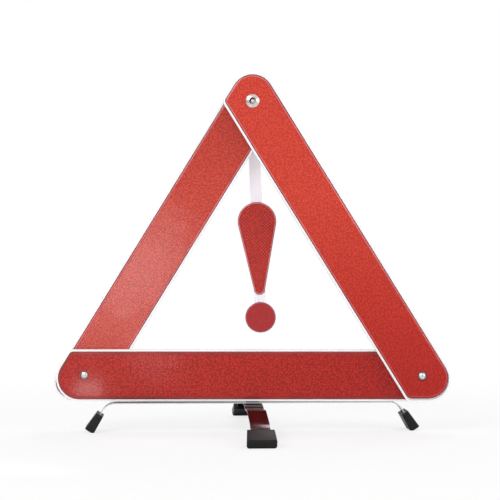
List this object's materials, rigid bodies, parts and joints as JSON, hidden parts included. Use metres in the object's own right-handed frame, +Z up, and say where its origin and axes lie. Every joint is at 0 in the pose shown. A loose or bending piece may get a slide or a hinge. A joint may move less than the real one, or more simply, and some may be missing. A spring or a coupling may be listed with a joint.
{
  "type": "warning triangle",
  "caption": "Folding red reflector triangle with a hanging warning mark, standing on two crossed spring-steel legs with rubber feet.",
  "frame": {"origin": "on the ground, straight under the rivet on which both legs turn, which is the middle of the footprint", "axes": "+X to the right as seen from the front, +Y to the back, +Z up; the reflectors face -Y"},
  "size_m": [0.4307, 0.3034, 0.3885],
  "materials": {
    "white_housing": "satin moulded",
    "red_reflector": "clear gloss over a prismatic field",
    "mark_reflector": "gloss with a fine diamond lattice",
    "pale_carrier": "milky satin",
    "bright_steel": "bright nickel",
    "nylon": "natural",
    "black_nylon": "satin",
    "spring_steel": "bright rolled",
    "black_rubber": "moulded matt"
  },
  "bodies": {
    "base": {"bottom_arm_housing": "white_housing", "bottom_arm_reflector": "red_reflector", "lower_left_rivet": "bright_steel", "lower_left_spacer": "nylon", "lower_left_burr": "bright_steel", "lower_right_rivet": "bright_steel", "lower_right_spacer": "nylon", "lower_right_burr": "bright_steel", "leg_mount_plate": "bright_steel", "leg_pivot_rivet": "bright_steel", "leg_upper_washer": "black_nylon", "leg_lower_washer": "black_nylon"},
    "right_arm": {"right_arm_housing": "white_housing", "right_arm_reflector": "red_reflector", "snap_cap": "bright_steel", "snap_socket": "bright_steel"},
    "left_arm": {"left_arm_housing": "white_housing", "left_arm_reflector": "red_reflector", "snap_stud": "bright_steel", "snap_eyelet": "bright_steel", "mark_collar": "nylon"},
    "warning_mark": {"mark_carrier": "pale_carrier", "mark_drop": "mark_reflector", "mark_dot": "mark_reflector"},
    "side_leg": {"side_leg_strip": "spring_steel", "left_foot": "black_rubber", "right_foot": "black_rubber"},
    "cross_leg": {"cross_leg_strip": "spring_steel", "front_foot": "black_rubber", "rear_foot": "black_rubber"}
  },
  "joints": [
    {"name": "left_arm_fold", "type": "hinge", "parent": "base", "child": "left_arm", "pos_m": [-0.183, 0.0046, 0.0605], "axis": [0, 0.9998, 0.0175], "range_deg": [0, 58.38]},
    {"name": "right_arm_fold", "type": "hinge", "parent": "base", "child": "right_arm", "pos_m": [0.183, -0.0084, 0.0605], "axis": [0, -0.9998, 0.0175], "range_deg": [0, 58.38]},
    {"name": "mark_swing", "type": "hinge", "parent": "left_arm", "child": "warning_mark", "pos_m": [0, -0.0006, 0.35763], "axis": [0, 0.9998, 0.0175], "range_deg": [0, 33.83]},
    {"name": "side_leg_swivel", "type": "hinge", "parent": "base", "child": "side_leg", "pos_m": [0, 0, 0.031], "axis": [0, 0, 1], "range_deg": [-48.5, 41.5]},
    {"name": "cross_leg_swivel", "type": "hinge", "parent": "base", "child": "cross_leg", "pos_m": [0, 0, 0.029], "axis": [0, 0, 1], "range_deg": [-93.5, 86.5]}
  ],
  "couplings": [
    {"joint": "mark_swing", "follows": "left_arm_fold", "ratio": 0.57858}
  ]
}
